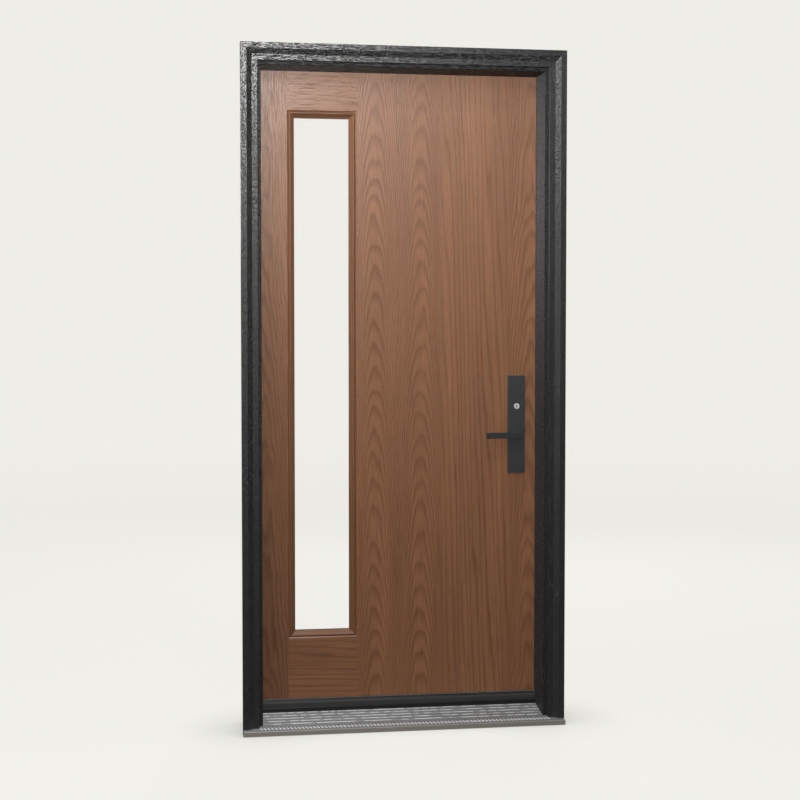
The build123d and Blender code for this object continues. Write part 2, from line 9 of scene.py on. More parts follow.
import bmesh
import bpy
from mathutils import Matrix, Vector


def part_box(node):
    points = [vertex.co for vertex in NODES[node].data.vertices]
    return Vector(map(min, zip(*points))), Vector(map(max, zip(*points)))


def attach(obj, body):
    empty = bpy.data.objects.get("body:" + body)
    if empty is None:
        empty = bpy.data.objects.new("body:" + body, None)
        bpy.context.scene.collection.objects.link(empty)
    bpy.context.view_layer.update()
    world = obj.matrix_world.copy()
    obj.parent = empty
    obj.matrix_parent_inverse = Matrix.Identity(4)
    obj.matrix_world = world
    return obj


bl_info = {
    "name": "Entrance Door Looks",
    "version": (1, 0, 0),
    "blender": (4, 5, 0),
    "location": "3D View > Sidebar > Door",
    "description": "Finishes, screws, deck grip and stage for a fiberglass entrance door",
    "category": "Object",
}

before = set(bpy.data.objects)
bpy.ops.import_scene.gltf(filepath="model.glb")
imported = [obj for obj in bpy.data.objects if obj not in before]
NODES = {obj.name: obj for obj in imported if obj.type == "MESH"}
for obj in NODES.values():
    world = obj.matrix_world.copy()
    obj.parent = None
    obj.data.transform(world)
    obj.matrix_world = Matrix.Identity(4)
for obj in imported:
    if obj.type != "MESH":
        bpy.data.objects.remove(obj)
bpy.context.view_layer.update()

LITE_LOW, LITE_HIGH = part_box("outside_lite_frame")
INDOOR_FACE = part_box("interior_skin")[1][1]
DECK_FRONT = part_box("sill_deck")[0][1]
HINGE_LEVELS = [
    (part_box(f"hinge_{name}_leaf")[0][2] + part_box(f"hinge_{name}_leaf")[1][2]) / 2
    for name in ("low", "mid", "top")
]

# The deck's top: its height at y zero, its slope, and how far its grip runs to either side.
DECK_HEIGHT = 0.0218
DECK_SLOPE = math.radians(8.6)
GRIP_REACH = 0.4545

# Screws: the hinge plates' outer faces, the holes' depth and lift from a hinge's middle, and the strike's.
JAMB_HINGE_FACE = -0.4572
LEAF_HINGE_FACE = -0.4522
HINGE_HOLES = ((0.0135, 0.037), (0.0245, 0.018), (0.0245, -0.018), (0.0135, -0.037))
STRIKE_INSET = 0.012

# Each softbox: name, power setting, place, aim, width, height, and whether it casts shadows.
SOFTBOXES = (
    ("key_softbox", "key_power", (-0.85, -2.3, 3.15), (-0.1, 0.1, 1.9), 2.0, 1.3, False),
    ("front_softbox", "front_power", (-1.3, -3.8, 2.7), (0.0, 0.1, 1.3), 2.6, 1.8, True),
    ("left_fill", "fill_power", (-3.4, -1.5, 2.5), (0.3, 0.1, 1.9), 1.4, 1.6, True),
    ("high_spot", "high_power", (-0.1, -3.0, 4.6), (0.0, 0.1, 1.3), 0.35, 0.35, True),
    ("veil_softbox", "veil_power", (-0.75, -2.7, 2.85), (-0.3, 0.1, 2.0), 1.5, 0.9, False),
    ("low_bounce", "bounce_power", (-1.5, -2.4, 0.3), (-0.3, 0.06, 2.06), 0.7, 0.7, True),
    ("back_rim", "rim_power", (-0.35, 2.0, 1.95), (-0.1, 0.1, 2.0), 0.9, 0.7, False),
    ("back_softbox", "back_power", (1.3, 3.8, 2.9), (0.0, 0.2, 1.0), 1.8, 1.8, True),
)

JAMBS = ("hinge_jamb", "latch_jamb")
MOULDINGS = ("brickmould_hinge", "brickmould_latch")
STRIPS = ("weatherstrip_hinge", "weatherstrip_latch", "weatherstrip_head")
SKINS = ("exterior_skin", "interior_skin")
LITE_FRAMES = ("outside_lite_frame", "inside_lite_frame")
PANES = ("outside_glass", "inside_glass")
INNER_WOOD = ("hinge_stile", "lock_stile", "top_rail", "bottom_rail")
PLATES = ("outside_plate", "inside_plate")
LEVERS = ("outside_lever", "inside_lever", "thumbturn")
HINGES = tuple(f"hinge_{place}_{half}" for place in ("low", "mid", "top") for half in ("frame", "leaf"))
BOLTS = ("spindle", "lock_faceplate", "latch_bolt", "dead_bolt", "strike_plate")


class DoorStainSettings(bpy.types.PropertyGroup):
    """Stain and grain of the leaf."""

    light_wood: bpy.props.FloatVectorProperty(
        name="Light wood", description="Stain between the grain lines", subtype="COLOR",
        size=3, min=0.0, max=1.0, default=(0.262, 0.116, 0.054),
    )
    dark_wood: bpy.props.FloatVectorProperty(
        name="Dark wood", description="Stain in the late wood of each ring", subtype="COLOR",
        size=3, min=0.0, max=1.0, default=(0.173, 0.0695, 0.0295),
    )
    pore_wood: bpy.props.FloatVectorProperty(
        name="Pores", description="Stain gathered in the pores", subtype="COLOR",
        size=3, min=0.0, max=1.0, default=(0.095, 0.038, 0.017),
    )
    line_pitch: bpy.props.FloatProperty(
        name="Grain line pitch", description="Distance between grain lines across the board",
        unit="LENGTH", default=0.0076, min=0.003, max=0.05,
    )
    arch_pitch: bpy.props.FloatProperty(
        name="Arch pitch", description="Height between the stacked arches of the grain",
        unit="LENGTH", default=0.076, min=0.02, max=0.5,
    )
    arch_radius: bpy.props.FloatProperty(
        name="Arch radius", description="Roundness of the arches at their tops",
        unit="LENGTH", default=0.046, min=0.002, max=0.1,
    )
    wander: bpy.props.FloatProperty(
        name="Wander", description="How far grain lines stray, in line pitches",
        default=1.2, min=0.0, max=6.0,
    )
    gloss: bpy.props.FloatProperty(
        name="Roughness", description="Roughness of the clear coat over the stain",
        subtype="FACTOR", default=0.38, min=0.0, max=1.0,
    )
    emboss: bpy.props.FloatProperty(
        name="Emboss depth", description="Depth of the moulded pores and lines",
        unit="LENGTH", default=0.0004, min=0.0, max=0.002,
    )


class DoorFrameSettings(bpy.types.PropertyGroup):
    """Finish of the jambs, brickmould, sill and seals."""

    charcoal: bpy.props.FloatVectorProperty(
        name="Frame colour", description="Charcoal coat of the jambs and brickmould", subtype="COLOR",
        size=3, min=0.0, max=1.0, default=(0.0095, 0.0098, 0.0102),
    )
    frame_roughness: bpy.props.FloatProperty(
        name="Frame roughness", description="Roughness of the charcoal coat",
        subtype="FACTOR", default=0.38, min=0.0, max=1.0,
    )
    sheen: bpy.props.FloatProperty(
        name="Frame sheen", description="Dusty sheen of the coat at a slant",
        subtype="FACTOR", default=0.02, min=0.0, max=1.0,
    )
    emboss: bpy.props.FloatProperty(
        name="Frame emboss", description="Depth of the embossed frame grain",
        unit="LENGTH", default=0.0014, min=0.0, max=0.002,
    )
    deck_metal: bpy.props.FloatVectorProperty(
        name="Deck metal", description="Aluminium of the sill's deck", subtype="COLOR",
        size=3, min=0.0, max=1.0, default=(0.262, 0.273, 0.276),
    )
    threshold: bpy.props.FloatVectorProperty(
        name="Threshold", description="Dark riser and cap under the leaf", subtype="COLOR",
        size=3, min=0.0, max=1.0, default=(0.035, 0.035, 0.036),
    )


class DoorMetalSettings(bpy.types.PropertyGroup):
    """Finish of the lock, levers and hinges."""

    black: bpy.props.FloatVectorProperty(
        name="Black metal", description="Matt black coat of the plates and levers", subtype="COLOR",
        size=3, min=0.0, max=1.0, default=(0.025, 0.0265, 0.028),
    )
    nickel: bpy.props.FloatVectorProperty(
        name="Nickel", description="Satin nickel of the key cylinder", subtype="COLOR",
        size=3, min=0.0, max=1.0, default=(0.84, 0.83, 0.81),
    )
    steel: bpy.props.FloatVectorProperty(
        name="Steel", description="Satin steel of bolts, strike and hinges", subtype="COLOR",
        size=3, min=0.0, max=1.0, default=(0.36, 0.35, 0.34),
    )


class DoorGripSettings(bpy.types.PropertyGroup):
    """Rows of slanted strokes on the front band of the deck."""

    stroke_length: bpy.props.FloatProperty(
        name="Stroke length", description="Length of one raised stroke", unit="LENGTH", default=0.0330,
    )
    stroke_width: bpy.props.FloatProperty(
        name="Stroke width", description="Width of one stroke at its foot", unit="LENGTH", default=0.0046,
    )
    stroke_height: bpy.props.FloatProperty(
        name="Stroke height", description="How far a stroke stands proud", unit="LENGTH", default=0.0010,
    )
    pitch: bpy.props.FloatProperty(
        name="Stroke pitch", description="Distance between strokes along the sill", unit="LENGTH", default=0.0118,
    )
    rows: bpy.props.IntProperty(name="Rows", description="Rows of strokes from nose to ribs", default=1, min=1, max=8)
    slant: bpy.props.FloatProperty(
        name="Slant", description="Slant of the strokes, turned the other way in every other row",
        subtype="ANGLE", default=math.radians(72),
    )
    front: bpy.props.FloatProperty(
        name="Band front", description="Depth of the band's outdoor edge", unit="LENGTH", default=-0.0375,
    )
    back: bpy.props.FloatProperty(
        name="Band back", description="Depth of the band's indoor edge", unit="LENGTH", default=-0.0010,
    )


class DoorScrewSettings(bpy.types.PropertyGroup):
    """Countersunk cross-head screws."""

    head_radius: bpy.props.FloatProperty(
        name="Head radius", description="Radius of a screw head", unit="LENGTH", default=0.0042,
    )
    head_rise: bpy.props.FloatProperty(
        name="Head rise", description="How far the crown stands proud", unit="LENGTH", default=0.0005,
    )
    slot_width: bpy.props.FloatProperty(
        name="Slot width", description="Width of the cross slot", unit="LENGTH", default=0.0010,
    )


class DoorStageSettings(bpy.types.PropertyGroup):
    """Camera, floor and lights."""

    camera_place: bpy.props.FloatVectorProperty(
        name="Camera", description="Where the camera stands", subtype="TRANSLATION", unit="LENGTH",
        size=3, default=(-0.77992, -4.83896, 1.24510),
    )
    camera_yaw: bpy.props.FloatProperty(
        name="Yaw", description="Turn of the camera towards the lock side",
        subtype="ANGLE", default=0.15665,
    )
    camera_pitch: bpy.props.FloatProperty(
        name="Pitch", description="Downward tilt of the camera", subtype="ANGLE", default=0.04396,
    )
    camera_lens: bpy.props.FloatProperty(
        name="Lens", description="Focal length on a 36 mm wide sensor, in millimetres", default=70.970,
    )
    backdrop: bpy.props.FloatVectorProperty(
        name="Backdrop", description="Pale colour of the floor and the backdrop", subtype="COLOR",
        size=3, min=0.0, max=1.0, default=(0.855, 0.847, 0.807),
    )
    key_power: bpy.props.FloatProperty(
        name="Key light", description="Power of the large softbox above and to the left",
        unit="POWER", default=85.0,
    )
    front_power: bpy.props.FloatProperty(
        name="Front light", description="Power of the softbox in front", unit="POWER", default=36.0,
    )
    fill_power: bpy.props.FloatProperty(
        name="Fill light", description="Power of the wide fill from the left", unit="POWER", default=27.0,
    )
    high_power: bpy.props.FloatProperty(
        name="High spot", description="Power of the small high light that shades under the head and the lever",
        unit="POWER", default=26.0,
    )
    veil_power: bpy.props.FloatProperty(
        name="Veil light", description="Power of the softbox that only gives the gloss at the top",
        unit="POWER", default=66.0,
    )
    bounce_power: bpy.props.FloatProperty(
        name="Low bounce", description="Power of the low light that reaches under the head",
        unit="POWER", default=1.5,
    )
    rim_power: bpy.props.FloatProperty(
        name="Back rim", description="Power of the small light that grazes the reveals from indoors",
        unit="POWER", default=11.0,
    )
    back_power: bpy.props.FloatProperty(
        name="Back light", description="Power of the softbox on the indoor side", unit="POWER", default=90.0,
    )
    ambient: bpy.props.FloatProperty(
        name="Ambient", description="Strength of the soft light from all round", default=0.062, min=0.0, max=5.0,
    )


# ---------------------------------------------------------------- node trees

def tint(colour):
    """Four numbers for a colour socket."""
    return (colour[0], colour[1], colour[2], 1.0)


def scaled(colour, factor):
    """A colour made darker or lighter."""
    return tuple(factor * channel for channel in colour)


def both_shades(colour, contrast):
    """The darker and the lighter shade of a mottled colour."""
    return tint(scaled(colour, 1 - contrast)), tint([min(1.0, channel) for channel in scaled(colour, 1 + contrast)])


class Weave:
    """A short way to write a node tree: makes nodes, sets their sockets and links them."""

    def __init__(self, tree):
        self.tree = tree
        self.column = 0

    def make(self, kind, inputs=None, **settings):
        """Adds a node, sets its properties and fills its inputs with values or other outputs."""
        node = self.tree.nodes.new(kind)
        self.column += 1
        node.location = (self.column * 170, -(self.column % 5) * 160)
        for key, value in settings.items():
            setattr(node, key, value)
        for key, value in (inputs or {}).items():
            socket = node.inputs[key]
            if isinstance(value, bpy.types.NodeSocket):
                self.tree.links.new(value, socket)
            else:
                socket.default_value = value
        return node

    def maths(self, operation, *values, clamp=False):
        """One arithmetic step."""
        node = self.make("ShaderNodeMath", dict(enumerate(values)), operation=operation, use_clamp=clamp)
        return node.outputs[0]

    def add(self, first, second):
        """Sum of two numbers."""
        return self.maths("ADD", first, second)

    def less(self, first, second):
        """The first number less the second."""
        return self.maths("SUBTRACT", first, second)

    def times(self, first, second, clamp=False):
        """Product of two numbers."""
        return self.maths("MULTIPLY", first, second, clamp=clamp)

    def span(self, value, *limits):
        """Runs a number from between the first two limits to the last two, or to 0 and 1, and holds it there."""
        return self.make("ShaderNodeMapRange", {0: value, **dict(enumerate(limits, 1))}).outputs[0]

    def blend(self, factor, first, second):
        """Mixes two numbers."""
        return self.make("ShaderNodeMix", {0: factor, 2: first, 3: second}, data_type="FLOAT").outputs[0]

    def pick(self, factor, first, second):
        """Mixes two vectors."""
        return self.make("ShaderNodeMix", {0: factor, 4: first, 5: second}, data_type="VECTOR").outputs[1]

    def colours(self, factor, first, second):
        """Mixes two colours."""
        return self.make("ShaderNodeMix", {0: factor, 6: first, 7: second}, data_type="RGBA").outputs[2]

    def split(self, vector):
        """X, Y and Z of a vector."""
        return self.make("ShaderNodeSeparateXYZ", {0: vector}).outputs

    def noise(self, vector, scale, detail=3.0, rough=0.5, distortion=0.0):
        """Noise value between 0 and 1."""
        node = self.make(
            "ShaderNodeTexNoise",
            {"Vector": vector, "Scale": scale, "Detail": detail, "Roughness": rough, "Distortion": distortion},
        )
        return node.outputs["Fac"]

    def ramp(self, factor, stops):
        """Colour ramp read as a number: stops are (place, value)."""
        node = self.make("ShaderNodeValToRGB", {0: factor})
        band = node.color_ramp
        while len(band.elements) < len(stops):
            band.elements.new(1.0)
        for element, (place, value) in zip(band.elements, stops):
            element.position = place
            element.color = (value, value, value, 1.0)
        return node.outputs[0]

    def stretch(self, vector, scale):
        """Scales a vector, to draw a pattern out along one axis."""
        return self.make("ShaderNodeMapping", {"Vector": vector, "Scale": scale}).outputs[0]

    def seen_directly(self):
        """1 where the eye meets a surface, straight or through glass, and 0 for the light it gives."""
        path = self.make("ShaderNodeLightPath").outputs
        return self.maths("MAXIMUM", path["Is Camera Ray"], path["Is Transmission Ray"])


def new_finish(name):
    """A new material, with its tree writer, its one principled shader and Object coordinates."""
    finish = bpy.data.materials.new(name)
    finish.use_nodes = True
    finish.node_tree.nodes.clear()
    weave = Weave(finish.node_tree)
    shader = weave.make("ShaderNodeBsdfPrincipled")
    out = weave.make("ShaderNodeOutputMaterial")
    finish.node_tree.links.new(shader.outputs[0], out.inputs[0])
    place = weave.make("ShaderNodeTexCoord").outputs["Object"]
    return finish, weave, shader, place


def set_shader(weave, shader, inputs):
    """Fills a shader's sockets with values or links."""
    for key, value in inputs.items():
        if isinstance(value, bpy.types.NodeSocket):
            weave.tree.links.new(value, shader.inputs[key])
        else:
            shader.inputs[key].default_value = value


def add_bump(weave, shader, height, depth, strength=1.0):
    """Bump from a height between 0 and 1, for a depth in metres."""
    bump = weave.make("ShaderNodeBump", {"Strength": strength, "Distance": depth, "Height": height})
    weave.tree.links.new(bump.outputs[0], shader.inputs["Normal"])


def dress(names, finish):
    """Gives CAD nodes their finish."""
    for name in names:
        slots = NODES[name].material_slots
        if not slots:
            raise RuntimeError(f"{name} has no material slot")
        for slot in slots:
            slot.material = finish


def dress_piece(piece, finish):
    """Gives a new piece one finish."""
    piece.data.materials.clear()
    piece.data.materials.append(finish)


# ------------------------------------------------------------ wood of the leaf

def wood_figure_group(stain):
    """Node group: plain-sawn grain whose rings stack in arches, as a shade between 0 and 1."""
    group = bpy.data.node_groups.new("plain_sawn_figure", "ShaderNodeTree")
    for label, default in (
        ("Across", 0.0),
        ("Along", 0.0),
        ("Line pitch", stain.line_pitch),
        ("Arch pitch", stain.arch_pitch),
        ("Arch radius", stain.arch_radius),
        ("Wander", stain.wander),
        ("Seed", 0.0),
        ("Sharpness", 1.0),
        ("Real across", 0.0),
    ):
        socket = group.interface.new_socket(name=label, in_out="INPUT", socket_type="NodeSocketFloat")
        socket.default_value = default
    group.interface.new_socket(name="Shade", in_out="OUTPUT", socket_type="NodeSocketFloat")
    weave = Weave(group)
    inlet = weave.make("NodeGroupInput").outputs
    outlet = weave.make("NodeGroupOutput")
    along, seed = inlet["Along"], inlet["Seed"]

    # How far the lines stray from their places.
    spot = weave.make("ShaderNodeCombineXYZ", {0: inlet["Real across"], 1: seed, 2: along}).outputs[0]
    slow = weave.noise(weave.stretch(spot, (9.0, 1.0, 2.2)), 1.0, 2.0)
    quick = weave.noise(weave.stretch(spot, (34.0, 1.0, 5.0)), 1.0, 2.0)
    stray = weave.less(weave.add(slow, weave.times(quick, 0.35)), 0.675)

    # Ring number: steep lines at the sides, which close in a round arch at the middle.
    off = weave.maths("ABSOLUTE", inlet["Across"])
    square = weave.maths("POWER", off, 2.0)
    closing = weave.add(square, weave.maths("POWER", inlet["Arch radius"], 2.0))
    rounded = weave.times(off, weave.maths("DIVIDE", square, closing))
    phase = weave.maths("DIVIDE", rounded, inlet["Line pitch"])
    phase = weave.add(phase, weave.maths("DIVIDE", along, inlet["Arch pitch"]))
    height_only = weave.make("ShaderNodeCombineXYZ", {1: seed, 2: weave.times(along, 9.0)}).outputs[0]
    uneven = weave.less(weave.noise(height_only, 1.0, 1.0), 0.5)
    phase = weave.add(phase, weave.times(uneven, 0.8))
    phase = weave.add(phase, weave.times(stray, weave.times(inlet["Wander"], 2.0)))

    # Shade across one ring, stronger in some patches than in others.
    ring = weave.maths("POWER", weave.maths("FRACT", phase), inlet["Sharpness"])
    shade = weave.ramp(ring, ((0.0, 0.15), (0.34, 0.0), (0.70, 0.75), (0.84, 1.0), (1.0, 0.15)))
    patches = weave.noise(weave.stretch(spot, (20.0, 1.0, 1.5)), 1.0, 1.0)
    strength = weave.add(0.45, weave.times(patches, 0.9))
    weave.tree.links.new(weave.times(shade, strength, clamp=True), outlet.inputs["Shade"])
    return group


def figure(weave, group, across, along, real, **values):
    """One run of the plain-sawn figure: the values go to the group's inputs of the same name."""
    inputs = {"Across": across, "Along": along, "Real across": real}
    inputs.update({key.replace("_", " ").capitalize(): value for key, value in values.items()})
    return weave.make("ShaderNodeGroup", inputs, node_tree=group).outputs[0]


def leaf_zones(weave, group, place, x, z):
    """Grain of the leaf: its shade, where it runs level, and its tone, which holds a painted shadow on the stile."""
    fold = weave.less(weave.maths("ABSOLUTE", weave.add(x, 0.0025)), 0.0725)
    columns = figure(weave, group, fold, z, x, seed=1.7)
    straight = figure(
        weave, group, weave.add(x, 1.0), weave.times(z, 0.18), x,
        seed=5.2, line_pitch=0.0175, wander=2.2, sharpness=1.9,
    )
    lock_side = figure(
        weave, group, weave.less(x, 0.430), z, x,
        seed=9.1, line_pitch=0.011, arch_pitch=0.10, arch_radius=0.034, wander=2.4,
    )
    stile = figure(
        weave, group, weave.add(x, 0.432), z, x,
        seed=3.3, line_pitch=0.010, arch_pitch=0.15, arch_radius=0.05, wander=3.0,
    )
    rails = figure(
        weave, group, weave.add(z, 1.0), weave.times(x, 0.2), z,
        seed=12.4, line_pitch=0.0180, wander=2.6, sharpness=2.2,
    )
    ragged = weave.less(weave.noise(weave.stretch(place, (3.0, 3.0, 2.0)), 1.0, 2.0), 0.5)
    rough_x = weave.add(x, weave.times(ragged, 0.05))
    shade = weave.blend(weave.span(rough_x, 0.115, 0.150), columns, straight)
    shade = weave.blend(weave.span(rough_x, 0.345, 0.375), shade, lock_side)
    on_stile = weave.maths("LESS_THAN", x, LITE_LOW[0])
    shade = weave.blend(on_stile, shade, stile)
    left_of_joint = weave.maths("LESS_THAN", x, LITE_HIGH[0] + 0.004)
    on_rail = weave.times(left_of_joint, weave.less(1.0, on_stile))
    shade = weave.blend(on_rail, shade, rails)
    # Painted shadow of the hinge jamb: the stile is painted darker towards the bottom, from full at 1.8 m up to 0.78
    # at 0.3 m and below.
    tone = weave.blend(on_stile, 1.0, weave.span(z, 0.3, 1.8, 0.78, 1.0))
    return shade, on_rail, tone


def lite_members(weave, group, x, z):
    """Grain of the lite's frame, turned at the mitres: its shade, where it runs level, and its tone."""
    middle_x, half_width = (LITE_LOW[0] + LITE_HIGH[0]) / 2, (LITE_HIGH[0] - LITE_LOW[0]) / 2
    middle_z, half_height = (LITE_LOW[2] + LITE_HIGH[2]) / 2, (LITE_HIGH[2] - LITE_LOW[2]) / 2
    beside = weave.less(weave.maths("ABSOLUTE", weave.less(x, middle_x)), half_width)
    above = weave.less(weave.maths("ABSOLUTE", weave.less(z, middle_z)), half_height)
    levelled = weave.maths("GREATER_THAN", above, beside)
    upright = figure(weave, group, weave.add(x, 1.0), weave.times(z, 0.15), x, seed=2.0, line_pitch=0.0075)
    level = figure(weave, group, weave.add(z, 1.0), weave.times(x, 0.15), z, seed=4.0, line_pitch=0.0075)
    return weave.blend(levelled, upright, level), levelled, 0.84


def wood_finish(name, stain, group, zoned):
    """Stained fiberglass: zoned for the leaf, or with mitred members for the lite's frame."""
    finish, weave, shader, place = new_finish(name)
    axes = weave.split(place)
    if zoned:
        shade, levelled, tone = leaf_zones(weave, group, place, axes[0], axes[2])
    else:
        shade, levelled, tone = lite_members(weave, group, axes[0], axes[2])

    def drawn_out(across, along):
        """The place, drawn out along the grain."""
        upright = weave.stretch(place, (across, across, along))
        return weave.pick(levelled, upright, weave.stretch(place, (along, across, across)))

    fine = weave.noise(drawn_out(620.0, 16.0), 1.0, 2.0, 0.6)
    pores = weave.ramp(fine, ((0.0, 1.0), (0.34, 1.0), (0.42, 0.0), (1.0, 0.0)))
    broad = weave.noise(drawn_out(22.0, 1.3), 1.0, 3.0, 0.6)
    streaks = weave.noise(drawn_out(280.0, 7.0), 1.0, 2.0)
    lift = weave.times(weave.span(broad, 0.25, 0.75, 0.86, 1.12), weave.span(streaks, 0.25, 0.75, 0.90, 1.10))
    base = weave.colours(shade, tint(stain.light_wood), tint(stain.dark_wood))
    # The tone darkens the lite's frame evenly, and it paints the hinge jamb's shadow on the leaf's stile.
    lifted = weave.make("ShaderNodeHueSaturation", {"Value": weave.times(lift, tone), "Color": base}).outputs[0]
    colour = weave.colours(weave.times(pores, 0.40), lifted, tint(stain.pore_wood))
    rough = weave.span(fine, 0.2, 0.8, stain.gloss + 0.06, stain.gloss - 0.04)
    set_shader(weave, shader, {"Base Color": colour, "Roughness": rough})
    relief = weave.add(weave.times(shade, 0.45), weave.times(pores, 0.55))
    add_bump(weave, shader, weave.less(1.0, relief), stain.emboss, 0.8)
    return finish


# ------------------------------------------------------------- other finishes

def frame_finish(name, looks, upright, matt):
    """Charcoal coat with embossed grain along the member, matt on the jambs, where the coat is painted paler: painted
    light on the reveals and under the head.
    """
    finish, weave, shader, place = new_finish(name)
    along = (270.0, 130.0, 180.0) if upright else (42.0, 120.0, 360.0)
    wide = (160.0, 60.0, 18.0) if upright else (14.0, 60.0, 150.0)
    roughness = looks.frame_roughness + (0.20 if matt else 0.0)
    # On the jambs the coat is painted 2.6 times paler: painted light that stands in for the light on the reveals and
    # under the head.
    painted_light_lift = 2.6 if matt else 1.0
    fine = weave.noise(weave.stretch(place, along), 1.0, 2.0, 0.6, 0.3)
    broad = weave.noise(weave.stretch(place, wide), 1.0, 2.0)
    height = weave.add(weave.times(fine, 0.87), weave.times(broad, 0.13))
    level = weave.ramp(height, ((0.0, 0.0), (0.43, 0.0), (0.50, 0.9), (1.0, 1.0)))
    low = tint(scaled(looks.charcoal, 0.12 * painted_light_lift))
    high = tint(scaled(looks.charcoal, 1.20 * painted_light_lift))
    set_shader(weave, shader, {
        "Base Color": weave.colours(level, low, high),
        "Roughness": weave.span(level, 0.0, 1.0, roughness + 0.14, roughness - 0.04),
        "Specular IOR Level": 0.22 if matt else 0.82,
        "Sheen Weight": looks.sheen,
        "Sheen Roughness": 0.35,
    })
    add_bump(weave, shader, level, looks.emboss)
    return finish


def metal_finish(name, colour, roughness, metallic, brush, contrast=0.2, depth=0.00003):
    """Metal with brushed or cast texture: brush is the pattern's scale along X, Y and Z."""
    finish, weave, shader, place = new_finish(name)
    streaks = weave.noise(weave.stretch(place, brush), 1.0, 3.0, 0.6)
    cloud = weave.noise(place, 60.0, 3.0, 0.6)
    mixed = weave.add(weave.times(streaks, 0.6), weave.times(cloud, 0.4))
    tone = weave.colours(weave.span(mixed, 0.3, 0.7), *both_shades(colour, contrast))
    rough = weave.span(mixed, 0.3, 0.7, roughness - 0.06, roughness + 0.08)
    set_shader(weave, shader, {"Base Color": tone, "Roughness": rough, "Metallic": metallic})
    add_bump(weave, shader, streaks, depth, 0.6)
    return finish


def cylinder_finish(name, colour, face_depth):
    """Satin nickel, with painted shade where the keyway runs in behind the face."""
    finish, weave, shader, place = new_finish(name)
    inside = weave.span(weave.split(place)[1], face_depth + 0.0003, face_depth + 0.0012)
    turned = weave.noise(weave.stretch(place, (900.0, 40.0, 900.0)), 1.0, 2.0)
    face = weave.colours(turned, tint(scaled(colour, 0.9)), tint(colour))
    # Painted shade: the keyway's inside is painted almost black.
    tone = weave.colours(inside, face, tint((0.02, 0.02, 0.02)))
    rough = weave.span(turned, 0.0, 1.0, 0.30, 0.40)
    set_shader(weave, shader, {"Base Color": tone, "Roughness": rough, "Metallic": 0.35})
    add_bump(weave, shader, turned, 0.00003, 0.5)
    return finish


def grainy_finish(name, colour, roughness, scale, depth):
    """Rubber, foam or composite with an even fine texture."""
    finish, weave, shader, place = new_finish(name)
    speck = weave.noise(place, scale, 4.0, 0.6)
    cells = weave.make("ShaderNodeTexVoronoi", {"Vector": place, "Scale": scale * 0.7}).outputs["Distance"]
    mixed = weave.add(weave.times(speck, 0.7), weave.times(cells, 0.3))
    tone = weave.colours(weave.span(mixed, 0.3, 0.7), *both_shades(colour, 0.15))
    set_shader(weave, shader, {"Base Color": tone, "Roughness": roughness})
    add_bump(weave, shader, mixed, depth, 0.7)
    return finish


def bare_wood_finish(name):
    """Bare laminated softwood of the hidden stiles and rails."""
    finish, weave, shader, place = new_finish(name)
    lines = weave.noise(weave.stretch(place, (160.0, 160.0, 4.0)), 1.0, 3.0, 0.6, 0.4)
    layer = weave.maths("FRACT", weave.times(weave.split(place)[1], 330.0))
    glue = weave.ramp(layer, ((0.0, 0.0), (0.90, 0.0), (0.95, 1.0), (1.0, 1.0)))
    tone = weave.colours(lines, tint((0.46, 0.29, 0.15)), tint((0.68, 0.49, 0.30)))
    tone = weave.colours(weave.times(glue, 0.5), tone, tint((0.22, 0.12, 0.06)))
    set_shader(weave, shader, {"Base Color": tone, "Roughness": 0.62})
    add_bump(weave, shader, lines, 0.0002, 0.6)
    return finish


def glass_finish(name):
    """Clear float glass with a very slight wave."""
    finish, weave, shader, place = new_finish(name)
    set_shader(weave, shader, {
        "Base Color": tint((1.0, 1.0, 1.0)),
        "Roughness": 0.0,
        "IOR": 1.12,
        "Transmission Weight": 1.0,
    })
    add_bump(weave, shader, weave.noise(place, 1.5, 1.0), 0.00002, 0.2)
    return finish


def deck_finish(name, looks):
    """Mill aluminium of the deck, drawn along the sill, with painted highlights on its ribs and grip and a painted
    reflection on its nose.
    """
    finish, weave, shader, place = new_finish(name)
    axes = weave.split(place)
    drawn = weave.noise(weave.stretch(place, (6.0, 900.0, 900.0)), 1.0, 3.0, 0.6)
    cloud = weave.noise(weave.stretch(place, (7.0, 22.0, 22.0)), 1.0, 3.0, 0.6)
    mixed = weave.add(weave.times(drawn, 0.45), weave.times(cloud, 0.55))
    tone = weave.colours(weave.span(mixed, 0.3, 0.7), tint(scaled(looks.deck_metal, 0.80)), tint(looks.deck_metal))
    # Painted highlight: the tops of the ribs are painted almost white in dashes, and so are the tops of the grip
    # strokes.
    plane = weave.add(DECK_HEIGHT, weave.times(axes[1], math.tan(DECK_SLOPE)))
    proud = weave.span(weave.less(axes[2], plane), 0.0001, 0.0006)
    dashes = weave.noise(weave.stretch(place, (45.0, 30.0, 30.0)), 1.0, 1.0)
    highlight_dashes = weave.span(dashes, 0.40, 0.50, 0.15, 1.0)
    on_grip = weave.maths("LESS_THAN", axes[1], 0.002)
    painted_highlight = weave.times(proud, weave.maths("MAXIMUM", highlight_dashes, on_grip))
    tone = weave.colours(painted_highlight, tone, tint((0.92, 0.93, 0.95)))
    # Painted reflection: the nose's front face is painted grey-brown, the floor seen in the aluminium.
    nose = weave.maths("LESS_THAN", axes[1], DECK_FRONT + 0.0008)
    tone = weave.colours(nose, tone, tint((0.36, 0.33, 0.30)))
    rough = weave.span(mixed, 0.3, 0.7, 0.52, 0.40)
    set_shader(weave, shader, {"Base Color": tone, "Roughness": rough, "Metallic": 0.35})
    add_bump(weave, shader, drawn, 0.00006, 0.5)
    return finish


# --------------------------------------------------------------- repeated pieces

def plain_mesh(name, vertices, faces):
    """A mesh object at the origin from vertices and faces."""
    mesh = bpy.data.meshes.new(name)
    mesh.from_pydata(vertices, [], faces)
    mesh.validate()
    piece = bpy.data.objects.new(name, mesh)
    bpy.context.scene.collection.objects.link(piece)
    return piece


